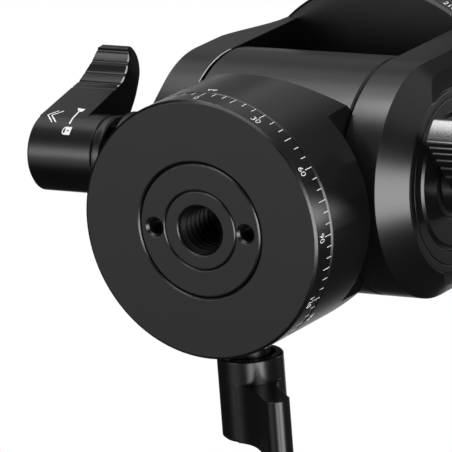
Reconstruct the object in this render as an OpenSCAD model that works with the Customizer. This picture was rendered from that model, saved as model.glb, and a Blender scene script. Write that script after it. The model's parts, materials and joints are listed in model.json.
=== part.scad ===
// Compact fluid video head: panning base, tilting yoke and panning plate clamp.
// Millimetres. Z is the pan axis, X the tilt axis, -Y the front. z = 0 is the underside of the base.

/* [Base] */
// Diameter of the base and of the pan body
base_d = 50; // [46:1:58]
// Height of the fixed base ring
base_h = 5.5; // [5:0.5:8]
// Wall diameter of the tripod socket (3/8 inch thread)
socket_d = 9.525; // [6.35:0.005:9.525]
// Depth of the tripod socket
socket_depth = 10.5; // [8:0.5:11]
// Diameter of the pan spindle where it passes the base ring
spindle_d = 15.2; // [14.4:0.2:15.6]
// Diameter of the clamp plate under the base ring
plate_d = 25.8; // [25:0.2:28]
// Thickness of the clamp plate
plate_t = 3.2; // [2.6:0.1:3.6]

/* [Pan body] */
// Height of the pan body above its seam
body_h = 14.25; // [14.25:0.25:18]
// Height of the pan lock axis above the seam
pan_lock_rise = 8.75; // [8.5:0.25:9.25]
// Diameter of the pan lock stud and of the grub screw
stud_d = 6; // [5:0.5:6]
// Distance of the grub screw from the middle of the drum
grub_x = 7.8; // [6.5:0.1:9]

/* [Tilt drum and yoke] */
// Diameter of the tilt drum and of the arms' round feet
drum_d = 45.6; // [44:0.4:50]
// Width of the tilt drum
drum_w = 34.6; // [33:0.2:38]
// Thickness of the right yoke arm
arm_t = 12.3; // [11.5:0.1:14]
// How much thinner the left arm is
left_thin = 1; // [0:0.1:1.5]
// Width of the arms' outer chamfer
arm_chamfer = 4.8; // [3:0.2:4.8]
// Height of the round platform
platform_h = 7; // [6.5:0.5:9]
// Depth of the round recess in an arm's outer face
recess_depth = 5.5; // [5:0.1:6.5]
// Diameter of the fixed tilt shaft
shaft_d = 12; // [11:0.5:13]
// Diameter of the shaft's ends, which carry the levers
stub_d = 8; // [7:0.5:8.5]
// Width of the friction discs, between the drum's wall and the damper rotor
disc_w = 5.2; // [4.8:0.1:5.6]
// Length of the rotor inside the drum
rotor_len = 12.7; // [9:0.1:14]

/* [Levers] */
// Hub diameter of the tilt lock lever
lock_d = 15.6; // [15:0.2:17]
// Hub length of the tilt lock lever
lock_len = 16.85; // [15:0.05:20]
// Hub diameter of the pan lock and tilt drag levers
lever_d = 12.7; // [12.3:0.1:13.7]
// Hub length of the pan lock and tilt drag levers
lever_len = 16; // [15:0.5:20]
// Reach of the pan lock paddle from its axis
lever_reach = 19.3; // [17:0.1:20]
// Thickness of the pan lock paddle
paddle_t = 4.8; // [4:0.1:5.4]
// Reach of the tilt drag paddle from its axis
drag_reach = 20.2; // [18:0.1:22]
// Thickness of the tilt drag paddle at its tip
drag_t = 5.5; // [5:0.1:6]
// Radius of the flare between the pan lock paddle and its hub
flare_r = 8; // [6.5:0.1:9]
// Radius of the tilt lock paddle's thumb side
thumb_r = 6.6; // [6:0.1:7.2]
// Radius of the tilt lock paddle's back
back_r = 18.8; // [18:0.1:19.6]
// Forward reach of the tilt lock paddle from its axis
horn_reach = 17.75; // [17:0.05:18.5]
// Pan lock paddle, degrees below level
pan_paddle = 44; // [20:1:44]

/* [Plate clamp] */
// Width of the dovetail plate that the clamp holds
plate_w = 38; // [37:0.5:40]
// Height of the clamp base
clamp_h = 8.7; // [8.5:0.1:11]
// Height of the jaws above the clamp floor
jaw_h = 6; // [5:0.5:8]
// How far the jaw opens
jaw_travel = 3.5; // [2:0.5:3.5]
// Diameter of the clamp knob
knob_d = 16; // [13:0.5:16]
// Length of the clamp knob
knob_len = 12.3; // [10:0.1:16]
// Diameter of the clamp screw
screw_d = 6; // [5:0.5:6]
// Height of the clamp screw above the clamp's underside
screw_rise = 4.2; // [4:0.1:4.4]
// Diameter of the level vial
vial_d = 10; // [8:0.5:10]
// Height of the level vial
vial_h = 3.25; // [2.5:0.05:3.5]
// Distance of the level vial from the clamp's middle
vial_y = 17.5; // [16:0.5:19]
// Length of the guide pins inside the clamp base
pin_len = 13.5; // [11:0.5:14]
// Diameter of the post that the clamp turns on
post_d = 24; // [20:0.5:24]
// Height of the post above the platform
post_h = 4.65; // [4.4:0.05:5]
// Diameter of the post's spigot in the platform
spigot_d = 15.8; // [14:0.2:17]

/* [Clearances] */
// Gap between faces that turn on each other
seam = 0.25; // [0.2:0.05:0.3]
// Gap round the drum, between the arms and the drum
side_gap = 0.4; // [0.35:0.05:0.6]
// Radial clearance of a shaft that turns in its bore
run = 0.05; // [0.03:0.01:0.08]
// Radial clearance of pieces fixed to each other
fix = 0.04; // [0.02:0.01:0.06]

/* [Hidden] */
$fn = 64;

c_black = [0.06, 0.06, 0.065];
c_steel = [0.62, 0.63, 0.65];
c_brass = [0.72, 0.56, 0.28];
c_plastic = [0.85, 0.84, 0.8];
c_glass = [0.55, 0.8, 0.45];

base_r = base_d / 2;
socket_r = socket_d / 2;
spindle_r = spindle_d / 2;
plate_r = plate_d / 2;
plate_h = plate_t;
edge = 0.5;

body_z = base_h + seam;
body_top = body_z + body_h;
pan_z = body_z + pan_lock_rise;
shoulder_r = spindle_r + 2.4;
flange_z0 = pan_z - 3.2;
flange_z1 = pan_z + 2.8;
ring_z1 = flange_z0 - seam - 1.1;
ring_r = base_r - 4.6;
flange_r = base_r - 9;
cavity_r = flange_r + 0.6;
cavity_top = flange_z1 + seam + 0.8;

drum_r = drum_d / 2;
drum_x = drum_w / 2;
arm_in = drum_x + side_gap;
arm_out = arm_in + arm_t;
rim_x = arm_out - arm_chamfer;
left_out = arm_out - left_thin;
recess_x = arm_out - recess_depth;
recess_r = drum_r - arm_chamfer - 0.4;
cap_r = recess_r - 2.2;
tilt_z = body_top + 1.7 + drum_r;
platform_z = tilt_z + max(drum_r + 3.7, base_r + 1.5);
platform_top = platform_z + platform_h;
platform_r = arm_out + 0.5;

shaft_r = shaft_d / 2;
stub_r = stub_d / 2;
disc_r = drum_r - 5;
disc_in = disc_r - disc_w;
rotor_r = disc_in - 0.6;
rotor_x = drum_x - rotor_len;
rotor_gap = 0.5;
bush_flange_r = cap_r;
bolt_r = (rotor_r + bush_flange_r) / 2;
disc_depth = 2.6;
flange_x = recess_x + 1.7;
screw_len = 4.3;
cap_x = arm_out + 1;

boss_r = lock_d / 2 + 1;
boss_x = cap_x + 11;
lock_x = boss_x + 2.5;
lock_r = lock_d / 2;
lock_collar = lock_len - 10.7;
nose_r = lock_r - 2.3;
nose_x = boss_x + 3.8;
lock_hollow_r = lock_r - 1.2;
lock_hollow = nose_x - lock_x + 1.2;

lever_r = lever_d / 2;
lever_collar = 4.6;
drag_collar = 3.3;
hollow_r = lever_r - 1.45;
hollow = 5;
pan_lever_y = base_r + 2.8;
half_paddle = paddle_t / 2;
pan_angle = min(pan_paddle, asin((pan_z - half_paddle - 0.3) / (lever_reach - half_paddle)));
stud_r = stud_d / 2;
sleeve_r = stud_r + 1;
drag_x = arm_out + 0.2;
cap_hole_r = lever_r + 0.8;
lever_cap_r = 4;
cap_t = 1.15;
end_wall = 2.9;

clamp_z = platform_top + 0.3;
floor_z = clamp_z + clamp_h;
clamp_r = platform_r - 0.5;
jaw_x = plate_w / 2 + 3;
jaw_top = floor_z + jaw_h;
post_r = post_d / 2;
spigot_r = spigot_d / 2;
post_top = platform_top + post_h;
head_z = post_top + 2.2;
screw_z = clamp_z + screw_rise;
screw_r = screw_d / 2;
vial_r = vial_d / 2;
pin_r = 1.8;
pin_y = 14;
pin_end = jaw_x + 0.7 * (sqrt(clamp_r * clamp_r - (pin_y + 2) * (pin_y + 2)) - jaw_x);
knob_x = platform_r + 0.5;
lock_stud_r = 1.6;
lock_z = clamp_z + 2.3;

// A cylinder along X
module xcyl(r, x0, x1) {
  translate([x0, 0, 0])
    rotate([0, 90, 0])
      cylinder(r = r, h = x1 - x0);
}

// A turned piece about X, from points of radius and x
module xturn(pts) {
  rotate([0, 90, 0])
    rotate_extrude()
      polygon(pts);
}

// A tube about Z
module ring(r0, r1, z0, z1) {
  rotate_extrude()
    polygon([[r0, z0], [r1, z0], [r1, z1], [r0, z1]]);
}

module base_ring() {
  bore = plate_r + 0.2;
  hub = spindle_r + fix;
  color(c_black)
    rotate_extrude()
      polygon([[bore + 0.3, 0], [base_r - edge, 0], [base_r, edge], [base_r, base_h - 0.3],
        [base_r - 0.3, base_h], [hub, base_h], [hub, plate_h], [bore, plate_h], [bore, 0.3]]);
}

module base_clamp_plate() {
  bore = spindle_r + fix;
  mid = (bore + plate_r) / 2 - 0.45;
  color(c_black)
    difference() {
      rotate_extrude()
        polygon([[bore + 0.25, 0], [plate_r - 0.3, 0], [plate_r, 0.3], [plate_r, plate_h - 0.02],
          [bore, plate_h - 0.02], [bore, 0.25]]);
      for (s = [-1, 1])
        translate([s * mid, 0, -1])
          cylinder(r = 1.45, h = plate_h + 2, $fn = 32);
      for (s = [-1, 1])
        translate([s * mid, 0, -0.1])
          cylinder(r1 = 2.05, r2 = 1.35, h = 0.7, $fn = 32);
    }
}

module pan_spindle() {
  color(c_black)
    rotate_extrude()
      polygon([[socket_r + 0.2, 0], [spindle_r - 0.25, 0], [spindle_r, 0.25], [spindle_r, base_h],
        [shoulder_r, base_h], [shoulder_r, flange_z0], [flange_r, flange_z0], [flange_r, flange_z1],
        [0, flange_z1], [0, socket_depth + 2.4], [socket_r, socket_depth], [socket_r, 0.2]]);
}

// Pan body and neck: a turned block with flat sides and sloping shoulders below the drum
module pan_block() {
  slope = 0.93;
  top = tilt_z - drum_r * 0.45;
  low = body_top + 0.2;
  inner = base_r - (top - low) * slope;
  difference() {
    rotate_extrude()
      polygon([[0, body_z], [base_r - 0.4, body_z], [base_r, body_z + 0.4], [base_r, top], [0, top]]);
    for (s = [0, 1])
      mirror([s, 0, 0])
        translate([drum_x, -base_r - 1, body_top])
          cube([base_r, base_d + 2, top]);
    for (s = [0, 1])
      mirror([0, s, 0])
        translate([-base_r, 0, 0])
          rotate([90, 0, 90])
            linear_extrude(height = base_d)
              polygon([[base_r + 2, low - 2 / slope], [inner, top], [inner, top + 5], [base_r + 2, top + 5]]);
  }
}

module housing() {
  color(c_black)
    difference() {
      union() {
        pan_block();
        translate([0, 0, tilt_z])
          xturn([[0, -drum_x], [drum_r - 0.4, -drum_x], [drum_r, -drum_x + 0.4], [drum_r, drum_x - 0.4],
            [drum_r - 0.4, drum_x], [0, drum_x]]);
      }
      rotate_extrude()
        polygon([[0, 0], [ring_r + 0.1, 0], [ring_r + 0.1, ring_z1], [cavity_r, ring_z1],
          [cavity_r, cavity_top], [0, cavity_top]]);
      translate([0, 0, tilt_z]) {
        xcyl(shaft_r + fix, -drum_x - 1, drum_x + 1);
        xcyl(disc_r + 0.1, -drum_x - 1, -drum_x + disc_depth);
        xcyl(disc_r + 0.1, drum_x - disc_depth, drum_x + 1);
        xcyl(rotor_r + rotor_gap, rotor_x - rotor_gap, drum_x);
      }
      translate([0, 0, pan_z])
        rotate([-90, 0, 0])
          cylinder(r = sleeve_r + fix, h = base_r + 1);
      translate([-grub_x, 0, cavity_top - 1])
        cylinder(r = stud_r + fix, h = tilt_z - cavity_top);
    }
}

module pan_thrust_washers() {
  color(c_plastic) {
    ring(shoulder_r + 0.5, flange_r - 0.2, ring_z1 + 0.05, ring_z1 + 1.05);
    ring(shoulder_r + 0.5, flange_r - 0.2, flange_z1 + seam, flange_z1 + seam + 0.75);
  }
}

module pan_retaining_ring() {
  color(c_steel)
    difference() {
      ring(shoulder_r + 0.4, ring_r, body_z + 0.3, ring_z1);
      for (a = [0, 90])
        rotate([0, 0, a + 45])
          translate([-ring_r + 1.5, -1.5, 0])
            cube([2 * ring_r - 3, 3, body_z + 1.8]);
    }
}

// Hollow steel nose that guides the pan lock stud and its brake plug
module pan_lock_nose() {
  color(c_steel)
    translate([0, 0, pan_z])
      rotate([-90, 0, 0])
        rotate_extrude()
          polygon([[stud_r + run, cavity_r + 0.8], [sleeve_r, cavity_r + 0.8], [sleeve_r, pan_lever_y + 2],
            [sleeve_r - 0.6, pan_lever_y + 2.6], [stud_r + run, pan_lever_y + 2.6]]);
}

module pan_brake_plug() {
  color(c_brass)
    difference() {
      translate([0, flange_r - 2, pan_z])
        rotate([-90, 0, 0])
          cylinder(r = stud_r, h = cavity_r - flange_r + 4.4);
      translate([0, 0, pan_z - 10])
        cylinder(r = flange_r + 0.4, h = 20);
    }
}

module pan_lever_stud() {
  end = pan_lever_y + lever_len - end_wall - 0.1;
  color(c_steel)
    translate([0, 0, pan_z])
      rotate([-90, 0, 0])
        rotate_extrude()
          polygon([[0, cavity_r + 2.8], [stud_r - 0.5, cavity_r + 2.8], [stud_r, cavity_r + 3.3],
            [stud_r, end], [0, end]]);
}

module tilt_shaft() {
  x1 = flange_x - 0.3;
  left = lock_x + lock_len - end_wall - 0.1;
  right = drag_x + lever_len - end_wall - 0.1;
  color(c_steel)
    translate([0, 0, tilt_z])
      difference() {
        xturn([[0, -left], [stub_r - 0.6, -left], [stub_r, -left + 0.6], [stub_r, -x1], [shaft_r, -x1],
          [shaft_r, x1], [stub_r, x1], [stub_r, right - 0.6], [stub_r - 0.6, right], [0, right]]);
        translate([-grub_x, 0, -shaft_r - 1])
          cylinder(r = stud_r - 1, h = 2.6);
      }
}

// Grub screw that holds the tilt shaft in the housing, reached from the pan cavity
module shaft_grub_screw() {
  z1 = tilt_z - shaft_r + 1.2;
  color(c_steel)
    translate([-grub_x, 0, 0])
      difference() {
        rotate_extrude()
          polygon([[0, z1 - 12], [stud_r, z1 - 12], [stud_r, z1 - 2], [stud_r - 1.1, z1 - 1.4],
            [stud_r - 1.1, z1], [0, z1]]);
        translate([0, 0, z1 - 13])
          cylinder(r = 1.7, h = 4, $fn = 6);
      }
}

module tilt_friction_discs() {
  color(c_plastic)
    translate([0, 0, tilt_z])
      for (s = [0, 1])
        mirror([s, 0, 0])
          xturn([[disc_in, drum_x - disc_depth + 0.05], [disc_r, drum_x - disc_depth + 0.05],
            [disc_r, drum_x + side_gap - seam], [disc_in, drum_x + side_gap - seam]]);
}

module drag_spring_washers() {
  r0 = stub_r + 0.1;
  r1 = cap_hole_r - 0.25;
  x0 = flange_x + 0.05;
  pitch = (drag_x - 0.3 - x0) / 3;
  color(c_steel)
    translate([0, 0, tilt_z])
      for (i = [0, 1, 2])
        xturn(i == 1
          ? [[r0, x0 + pitch * 1.05], [r1, x0 + pitch * 1.35], [r1, x0 + pitch * 1.9], [r0, x0 + pitch * 1.6]]
          : [[r0, x0 + pitch * (i + 0.4)], [r1, x0 + pitch * (i + 0.1)], [r1, x0 + pitch * (i + 0.65)],
             [r0, x0 + pitch * (i + 0.95)]]);
}

// Outline of the straight pan lock paddle along +X, with a flared root and a round tip
module pan_paddle_2d() {
  half = half_paddle;
  cy = half + flare_r;
  cx = sqrt((lever_r + flare_r) * (lever_r + flare_r) - cy * cy);
  end = lever_reach - half;
  union() {
    translate([0, -half])
      square([end, 2 * half]);
    translate([end, 0])
      circle(r = half * 1.02);
    for (s = [-1, 1])
      difference() {
        polygon([[0, 0], [cx * 0.2, s * lever_r * 0.75], [cx * 0.62, s * (half + flare_r * 0.26)],
          [cx * 1.12, s * half * 0.9], [cx * 1.12, 0]]);
        translate([cx, s * cy])
          circle(r = flare_r * 0.996);
      }
  }
}

// Outline of the tapering tilt drag paddle along +X, with thumb grooves on one side and a blunt tip
module drag_paddle_2d() {
  tip = drag_t / 2;
  root = lever_r - 0.2;
  corner = 0.9;
  fall = (root - tip) / drag_reach;
  cu = drag_reach - corner - 0.15;
  cv = root - fall * cu - corner - 0.05;
  difference() {
    intersection() {
      circle(r = drag_reach);
      union() {
        polygon([[0, -tip - 0.9], [cu, -tip - 0.05], [cu, root - fall * cu], [0, root]]);
        translate([cu - 1, -tip + corner])
          square([corner + 3, cv + tip - corner]);
        translate([cu, cv])
          circle(r = corner, $fn = 32);
        translate([cu, -tip + corner])
          circle(r = corner, $fn = 32);
      }
    }
    for (u = [0.93, 0.845, 0.745, 0.63, 0.5])
      translate([u * drag_reach, root - fall * u * drag_reach + 0.1])
        circle(r = 0.5, $fn = 24);
  }
}

// A lever along +Z from its hollow inner end, its paddle's outline given as a child
module lever(collar, bore_r) {
  difference() {
    union() {
      rotate_extrude()
        polygon([[0, 0], [lever_r - 0.3, 0], [lever_r, 0.3], [lever_r, lever_len - 0.5],
          [lever_r - 0.5, lever_len], [0, lever_len]]);
      translate([0, 0, collar])
        linear_extrude(height = lever_len - collar - 0.02)
          children();
    }
    translate([0, 0, -1])
      cylinder(r = hollow_r, h = hollow + 1);
    translate([0, 0, -1])
      cylinder(r = bore_r, h = lever_len + 1 - end_wall);
    translate([0, 0, lever_len - cap_t - 0.05])
      cylinder(r = lever_cap_r + fix, h = 2);
  }
}

// Cap with a hexagon socket in a lever's outer end, its top at z = 0
module lever_cap_body(r) {
  difference() {
    rotate_extrude()
      polygon([[0, -cap_t], [r, -cap_t], [r, -0.35], [r - 0.3, -0.05], [0, -0.05]]);
    translate([0, 0, 0.35 - cap_t])
      cylinder(r = 1.6, h = 2, $fn = 6);
  }
}

module place_pan_lever() {
  translate([0, pan_lever_y, pan_z])
    rotate([-90, 0, 0])
      rotate([0, 0, pan_angle])
        children();
}

module pan_lever() {
  color(c_black)
    place_pan_lever()
      lever(lever_collar, stud_r + fix)
        pan_paddle_2d();
}

module pan_lever_cap() {
  color(c_steel)
    place_pan_lever()
      translate([0, 0, lever_len])
        lever_cap_body(lever_cap_r);
}

module place_drag_lever() {
  translate([drag_x, 0, tilt_z])
    rotate([0, 90, 0])
      rotate([0, 0, -43.6])
        children();
}

module drag_lever() {
  color(c_black)
    place_drag_lever()
      lever(drag_collar, stub_r + run)
        drag_paddle_2d();
}

module drag_lever_cap() {
  color(c_steel)
    place_drag_lever()
      translate([0, 0, lever_len])
        lever_cap_body(lever_cap_r);
}

// Curved paddle of the tilt lock: x forward and y up from the hub's axis, its thumb side tangent to the hub
module horn_2d() {
  thumb = [lock_r + 9.3, 9.2];
  turn = atan2(thumb[1], thumb[0]) - acos((lock_r + thumb_r - 0.08) / norm(thumb));
  lean = [cos(turn), sin(turn)];
  top = thumb[1] + thumb_r;
  union() {
    difference() {
      intersection() {
        polygon([[0, 0], (lock_r - 0.03) * lean, thumb - (thumb_r - 0.05) * lean, thumb + [3, 0],
          thumb + [3, 12], [-3, thumb[1] + 12], [-3, 0]]);
        translate([back_r - 0.63, 1.76])
          circle(r = back_r);
        union() {
          translate([-4, -4])
            square([horn_reach - 3.55, 2 * top]);
          translate([horn_reach - 5.22, top - 2.32])
            circle(r = 5.88);
        }
      }
      translate(thumb)
        circle(r = thumb_r);
      polygon([[horn_reach - 0.5, top], [horn_reach - 0.14, top + 0.63], [horn_reach + 1, top + 0.63],
        [horn_reach + 1, top - 2], [horn_reach - 0.5, top - 2]]);
      for (i = [0:4])
        translate(thumb)
          rotate([0, 0, 94.6 + i * 20.5])
            translate([thumb_r - 0.36, 0])
              circle(r = 0.54, $fn = 24);
    }
    translate([horn_reach - 0.5, top + 0.42])
      circle(r = 0.4, $fn = 32);
  }
}

module place_lock_lever() {
  translate([-lock_x, 0, tilt_z])
    rotate([0, -90, 0])
      rotate([0, 0, -90])
        children();
}

module lock_lever() {
  color(c_black)
    place_lock_lever()
      difference() {
        union() {
          rotate_extrude()
            polygon([[0, 0], [lock_r - 0.3, 0], [lock_r, 0.3], [lock_r, 1.6], [lock_r - 0.35, 1.8],
              [lock_r - 0.35, 2.05], [lock_r, 2.25], [lock_r, lock_len - 0.5], [lock_r - 0.5, lock_len],
              [0, lock_len]]);
          difference() {
            translate([0, 0, lock_collar])
              linear_extrude(height = lock_len - lock_collar - 0.02)
                horn_2d();
            for (cut = [[-1.5, 0, 12], [2, 0, 26.6], [9.3, 3.75, 56]])
              translate([lock_r + cut[0], -back_r, lock_len - cut[1]])
                rotate([0, cut[2], 0])
                  cube([2 * back_r, 4 * back_r, lock_len]);
          }
        }
        translate([0, 0, -1])
          cylinder(r = lock_hollow_r, h = lock_hollow + 1);
        translate([0, 0, -1])
          cylinder(r = stub_r + run, h = lock_len + 1 - end_wall);
        translate([0, 0, lock_len - cap_t - 0.05])
          cylinder(r = lever_cap_r + 0.6 + fix, h = 2);
      }
}

module lock_lever_cap() {
  color(c_steel)
    place_lock_lever()
      translate([0, 0, lock_len])
        lever_cap_body(lever_cap_r + 0.6);
}

module lock_thrust_washer() {
  color(c_steel)
    translate([0, 0, tilt_z])
      xturn([[stub_r + 0.4, -nose_x - 1.1], [lock_hollow_r - 0.1, -nose_x - 1.1],
        [lock_hollow_r - 0.1, -nose_x - 0.35], [stub_r + 0.4, -nose_x - 0.35]]);
}

// One arm with its outer face at x = out: straight sides above the tilt axis, a round chamfered foot below it
module arm(out) {
  chamfer_y = drum_r - arm_chamfer;
  union() {
    translate([0, 0, tilt_z])
      linear_extrude(height = platform_z + 1 - tilt_z)
        polygon([[arm_in, -drum_r], [rim_x, -drum_r], [out, -chamfer_y], [out, chamfer_y],
          [rim_x, drum_r], [arm_in, drum_r]]);
    translate([0, 0, tilt_z])
      rotate([0, 90, 0])
        rotate([0, 0, -90])
          rotate_extrude(angle = 180)
            polygon([[0, arm_in], [drum_r, arm_in], [drum_r, rim_x], [chamfer_y, out], [0, out]]);
  }
}

// Turned outline that draws the arms' corners in to the platform
module arm_trim() {
  r0 = sqrt(rim_x * rim_x + drum_r * drum_r) + 0.3;
  r1 = platform_r - 0.05;
  z0 = tilt_z + 6;
  n = 8;
  rotate_extrude()
    polygon(concat([[0, 0], [r0, 0]],
      [for (i = [0:n]) [r1 + (r0 - r1) * (1 + cos(180 * i / n)) / 2, z0 + (platform_z - z0) * i / n]],
      [[r1, platform_z + 2], [0, platform_z + 2]]));
}

module yoke() {
  color(c_black)
    difference() {
      union() {
        intersection() {
          for (s = [0, 1])
            mirror([s, 0, 0])
              arm(s == 0 ? arm_out : left_out);
          arm_trim();
        }
        rotate_extrude()
          polygon([[0, platform_z], [platform_r - 0.6, platform_z], [platform_r, platform_z + 0.6],
            [platform_r, platform_top - 0.3], [platform_r - 0.3, platform_top], [0, platform_top]]);
      }
      for (s = [0, 1])
        mirror([s, 0, 0])
          translate([0, 0, tilt_z]) {
            xcyl(recess_r, recess_x, arm_out + 1);
            xcyl(rotor_r + fix, arm_in - 1, recess_x + 1);
            flange_holes();
          }
      translate([0, 0, platform_z - 1])
        cylinder(r = spigot_r + fix, h = platform_h + 2);
      translate([0, 0, platform_top - 1.5])
        cylinder(r = post_r + 2 + fix, h = 3);
      ring(post_r + 4, post_r + 11, platform_top - 0.9, platform_top + 1);
    }
}

module tilt_damper_rotor() {
  x0 = rotor_x;
  step = (drum_x - disc_depth - x0) / 6;
  color(c_brass)
    translate([0, 0, tilt_z])
      difference() {
        xturn([[shaft_r + run, x0], [rotor_r, x0], [rotor_r, recess_x], [bush_flange_r, recess_x],
          [bush_flange_r, flange_x], [shaft_r + run, flange_x]]);
        for (i = [1, 3])
          xturn([[rotor_r - 1.5, x0 + step * i], [rotor_r + 1, x0 + step * i],
            [rotor_r + 1, x0 + step * (i + 1)], [rotor_r - 1.5, x0 + step * (i + 1)]]);
        flange_holes();
      }
}

module flange_holes() {
  for (a = [45:90:315])
    rotate([a, 0, 0])
      translate([0, 0, bolt_r])
        xcyl(0.8 + fix, recess_x - screw_len - 0.2, flange_x + 1);
}

module tilt_bush() {
  color(c_brass)
    translate([0, 0, tilt_z])
      mirror([1, 0, 0])
        difference() {
          xturn([[shaft_r + run, arm_in + 0.2], [rotor_r, arm_in + 0.2], [rotor_r, recess_x],
            [bush_flange_r, recess_x], [bush_flange_r, flange_x], [shaft_r + run, flange_x]]);
          flange_holes();
        }
}

module flange_screws() {
  color(c_steel)
    translate([0, 0, tilt_z])
      for (s = [0, 1])
        mirror([s, 0, 0])
          for (a = [45:90:315])
            rotate([a, 0, 0])
              translate([0, 0, bolt_r])
                xturn([[0, recess_x - screw_len], [0.8, recess_x - screw_len], [0.8, flange_x],
                  [1.35, flange_x], [1.35, flange_x + 0.6], [0, flange_x + 0.6]]);
}

module left_end_cap() {
  x0 = flange_x + 0.75;
  color(c_black)
    translate([0, 0, tilt_z])
      mirror([1, 0, 0])
        xturn([[stub_r + 0.6, x0], [shaft_r + 0.8, x0], [shaft_r + 0.8, flange_x + 0.02],
          [rotor_r - 0.5, flange_x + 0.02], [rotor_r - 0.5, x0], [cap_r, x0], [cap_r, cap_x - 0.75],
          [cap_r - 0.75, cap_x], [boss_r, cap_x], [boss_r, boss_x - 0.4], [boss_r - 0.4, boss_x],
          [nose_r, boss_x], [nose_r, nose_x - 0.4], [nose_r - 0.4, nose_x], [stub_r + 0.6, nose_x]]);
}

module right_end_cap() {
  x0 = flange_x + 0.75;
  line_r = recess_r - 1.5;
  groove_r = line_r - 2.5;
  color(c_black)
    translate([0, 0, tilt_z])
      xturn([[cap_hole_r, flange_x + 0.02], [rotor_r - 0.5, flange_x + 0.02], [rotor_r - 0.5, x0],
        [recess_r - fix, x0], [recess_r - fix, arm_out], [line_r + 0.1, arm_out],
        [line_r + 0.1, arm_out - 0.3], [line_r - 0.1, arm_out - 0.3], [line_r - 0.1, arm_out],
        [groove_r, arm_out], [groove_r - 0.35, arm_out - 0.8], [groove_r - 0.5, arm_out - 0.8],
        [groove_r - 1.3, arm_out], [cap_hole_r + 0.3, arm_out], [cap_hole_r, arm_out - 0.3]]);
}

// Steel post on the platform that the clamp turns on
module pivot_post() {
  color(c_steel)
    difference() {
      rotate_extrude()
        polygon([[0, platform_z + 0.3], [spigot_r, platform_z + 0.3], [spigot_r, platform_top - 1.5],
          [post_r + 2, platform_top - 1.5], [post_r + 2, platform_top], [post_r, platform_top],
          [post_r, post_top - 0.4], [post_r - 0.4, post_top], [0, post_top]]);
      translate([0, 0, platform_z + 1.5])
        cylinder(r = 4 + fix, h = post_top);
    }
}

// Screw with a flat head that keeps the clamp on its post
module pivot_screw() {
  color(c_steel)
    difference() {
      rotate_extrude()
        polygon([[0, platform_z + 2], [4, platform_z + 2], [4, head_z], [7, head_z], [7, floor_z - 0.6],
          [6.6, floor_z - 0.25], [0, floor_z - 0.25]]);
      translate([0, 0, floor_z - 1.3])
        cylinder(r = 2.6, h = 3, $fn = 6);
    }
}

module clamp_thrust_ring() {
  color(c_plastic)
    ring(post_r + 4.1, post_r + 10.9, platform_top - 0.9, platform_top + 0.1);
}

// Dovetail outline of a jaw at x = plate_w / 2 and beyond, its overhang ending at height foot
module jaw_2d(x0, z0, foot) {
  half = plate_w / 2 + 0.2;
  x1 = clamp_r + 5;
  polygon([[x0, z0], [x1, z0], [x1, jaw_top], [half - 2.6, jaw_top], [half - 3, jaw_top - 0.4],
    [half - 3, floor_z + 4], [half, floor_z + 1.1], [half, foot], [x0, foot]]);
}

// Round outline of the clamp with its top edge broken
module clamp_round() {
  rotate_extrude()
    polygon([[0, clamp_z], [clamp_r, clamp_z], [clamp_r, jaw_top - 0.8], [clamp_r - 0.8, jaw_top],
      [0, jaw_top]]);
}

module clamp_base() {
  color(c_black)
    difference() {
      union() {
        difference() {
          rotate_extrude()
            polygon([[0, clamp_z], [clamp_r - 0.4, clamp_z], [clamp_r, clamp_z + 0.4], [clamp_r, floor_z],
              [0, floor_z]]);
          translate([jaw_x - 0.3, -base_d, clamp_z - 1])
            cube([base_d, 2 * base_d, clamp_h + 10]);
        }
        intersection() {
          mirror([1, 0, 0])
            rotate([90, 0, 0])
              translate([0, 0, -clamp_r])
                linear_extrude(height = 2 * clamp_r)
                  jaw_2d(plate_w / 2 + 1, floor_z - 2, floor_z);
          clamp_round();
        }
      }
      translate([0, 0, clamp_z - 1])
        cylinder(r = post_r + run, h = post_top - clamp_z + 1 + seam);
      translate([0, 0, clamp_z])
        cylinder(r = 4 + run, h = clamp_h + 1);
      translate([0, 0, head_z - seam])
        cylinder(r = 7.4, h = clamp_h);
      translate([0, vial_y, floor_z - vial_h - 0.15])
        cylinder(r = vial_r + fix, h = vial_h + 2);
      translate([0, 0, screw_z]) {
        xcyl(screw_r + run, post_r + 1.5, jaw_x);
        for (s = [-1, 1])
          translate([0, s * pin_y, 0])
            xcyl(pin_r + run, jaw_x - pin_len - 0.5, jaw_x);
      }
      translate([0, 0, lock_z])
        xcyl(lock_stud_r + run, -clamp_r - 1, -post_r + 1);
    }
}

module level_vial() {
  color(c_glass)
    translate([0, vial_y, floor_z - 0.1])
      rotate_extrude()
        polygon([[0, -vial_h], [vial_r, -vial_h], [vial_r, -0.4], [vial_r - 0.4, 0], [0, 0]]);
}

module guide_pins() {
  color(c_steel)
    translate([0, 0, screw_z])
      for (s = [-1, 1])
        translate([0, s * pin_y, 0])
          xcyl(pin_r, jaw_x - pin_len, pin_end);
}

module clamp_jaw() {
  color(c_black)
    difference() {
      intersection() {
        rotate([90, 0, 0])
          translate([0, 0, -clamp_r])
            linear_extrude(height = 2 * clamp_r)
              jaw_2d(jaw_x, clamp_z, floor_z + 0.15);
        clamp_round();
      }
      translate([0, 0, screw_z]) {
        xcyl(screw_r + run, jaw_x - 1, clamp_r + 1);
        for (s = [-1, 1])
          translate([0, s * pin_y, 0])
            xcyl(pin_r + fix, jaw_x - 1, pin_end + 0.1);
      }
    }
}

module clamp_screw() {
  color(c_steel)
    translate([0, 0, screw_z])
      xturn([[0, post_r + 2.2], [screw_r - 0.5, post_r + 2.2], [screw_r, post_r + 2.7],
        [screw_r, knob_x + knob_len - 2.3], [0, knob_x + knob_len - 2.3]]);
}

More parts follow.
